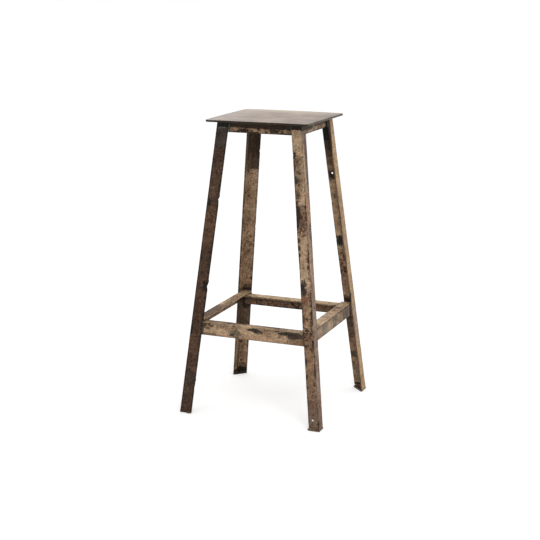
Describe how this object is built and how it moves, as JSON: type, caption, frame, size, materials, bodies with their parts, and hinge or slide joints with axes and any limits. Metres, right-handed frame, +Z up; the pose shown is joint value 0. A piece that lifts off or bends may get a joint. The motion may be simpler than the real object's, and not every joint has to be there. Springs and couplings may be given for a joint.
{
  "type": "bar stool",
  "caption": "Square bar stool welded from rolled steel angle, with splayed legs, a flat plate seat, an angle frame under the seat and a foot ring.",
  "frame": {"origin": "on the floor, midway between the four feet", "axes": "+X to the sitter-side right along the front foot rail, +Y from front to back, +Z up"},
  "size_m": [0.399, 0.379, 0.78],
  "materials": {
    "seat_steel": "waxed old steel plate, brown, satin",
    "painted_angle": "old putty-coloured paint, worn through to rust and dark steel",
    "foot_steel": "rusted steel plate with traces of paint",
    "weld_metal": "dark rippled weld beads"
  },
  "bodies": {
    "root": {"seat_plate": "seat_steel", "top_rail_front": "painted_angle", "top_rail_back": "painted_angle", "top_rail_left": "painted_angle", "top_rail_right": "painted_angle", "foot_rail_front": "painted_angle", "foot_rail_back": "painted_angle", "foot_rail_left": "painted_angle", "foot_rail_right": "painted_angle", "leg_front_left": "painted_angle", "leg_front_right": "painted_angle", "leg_back_left": "painted_angle", "leg_back_right": "painted_angle", "foot_plate_front_left": "foot_steel", "foot_plate_front_right": "foot_steel", "foot_plate_back_left": "foot_steel", "foot_plate_back_right": "foot_steel", "top_welds_front_left": "weld_metal", "top_welds_front_right": "weld_metal", "top_welds_back_left": "weld_metal", "top_welds_back_right": "weld_metal", "ring_welds_front_left": "weld_metal", "ring_welds_front_right": "weld_metal", "ring_welds_back_left": "weld_metal", "ring_welds_back_right": "weld_metal", "foot_welds_front_left": "weld_metal", "foot_welds_front_right": "weld_metal", "foot_welds_back_left": "weld_metal", "foot_welds_back_right": "weld_metal", "seat_stitch_welds": "weld_metal"}
  },
  "joints": []
}
